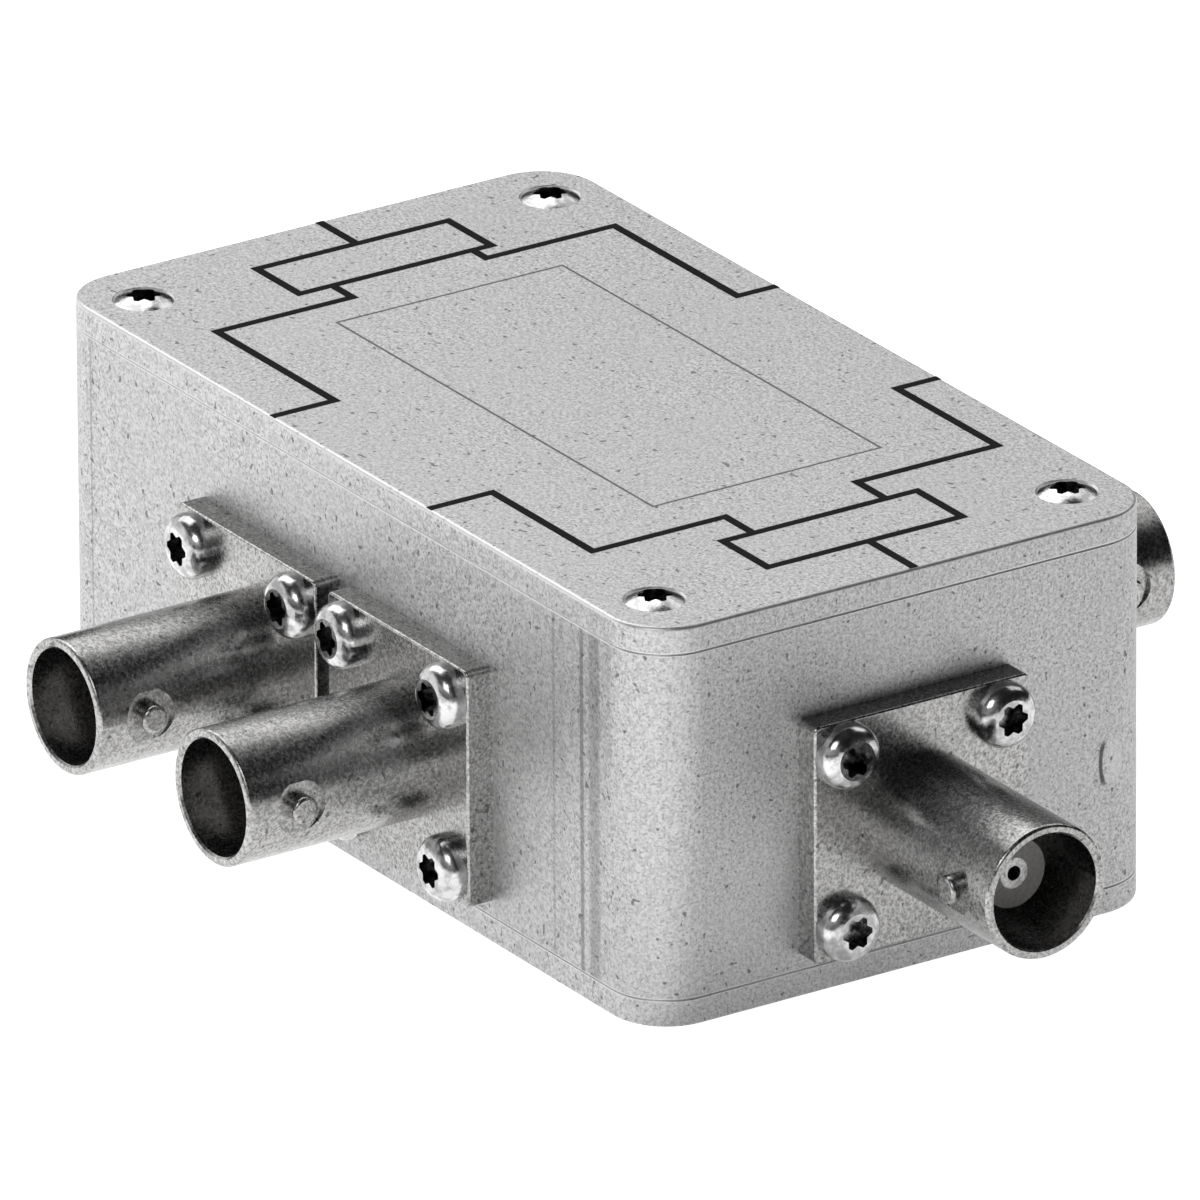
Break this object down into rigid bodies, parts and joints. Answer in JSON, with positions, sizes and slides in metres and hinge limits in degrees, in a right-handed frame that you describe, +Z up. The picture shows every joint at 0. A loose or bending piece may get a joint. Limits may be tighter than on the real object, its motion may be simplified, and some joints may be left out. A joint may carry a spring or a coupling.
{
  "type": "coaxial splitter",
  "caption": "Flat metal box with coaxial bayonet sockets on its four sides, screwed covers above and below, and ferrite transformers on a circuit board inside.",
  "frame": {"origin": "centre of the box's underside", "axes": "+X along the box's long side, +Y across it, +Z up through the cover with the circuit pattern"},
  "size_m": [0.1088, 0.076, 0.0298],
  "materials": {
    "case": "satin, fine blasted and clear-anodised",
    "cover": "satin, fine blasted and clear-anodised",
    "screw": "bright stainless steel",
    "socket_metal": "polished nickel plate",
    "insulator": "off-white moulded plastic",
    "contact": "silver-plated",
    "board": "green solder mask",
    "ferrite": "dull dark grey",
    "wire": "clear enamel over copper",
    "resistor": "dipped coating"
  },
  "bodies": {
    "root": {"board_screws": "screw", "body": "case", "bottom_cover": "cover", "bottom_cover_screws": "screw", "circuit_board": "board", "ferrite_match_a": "ferrite", "ferrite_match_b": "ferrite", "ferrite_split_a": "ferrite", "ferrite_split_b": "ferrite", "resistor_a": "resistor", "resistor_b": "resistor", "socket_in_a_contact": "contact", "socket_in_a_insulator": "insulator", "socket_in_a_shell": "socket_metal", "socket_in_b_contact": "contact", "socket_in_b_insulator": "insulator", "socket_in_b_shell": "socket_metal", "socket_out_a1_contact": "contact", "socket_out_a1_insulator": "insulator", "socket_out_a1_shell": "socket_metal", "socket_out_a2_contact": "contact", "socket_out_a2_insulator": "insulator", "socket_out_a2_shell": "socket_metal", "socket_out_b1_contact": "contact", "socket_out_b1_insulator": "insulator", "socket_out_b1_shell": "socket_metal", "socket_out_b2_contact": "contact", "socket_out_b2_insulator": "insulator", "socket_out_b2_shell": "socket_metal", "socket_screws": "screw", "top_cover": "cover", "top_cover_screws": "screw", "winding_match_a": "wire", "winding_match_b": "wire", "winding_split_a": "wire", "winding_split_b": "wire"}
  },
  "joints": []
}
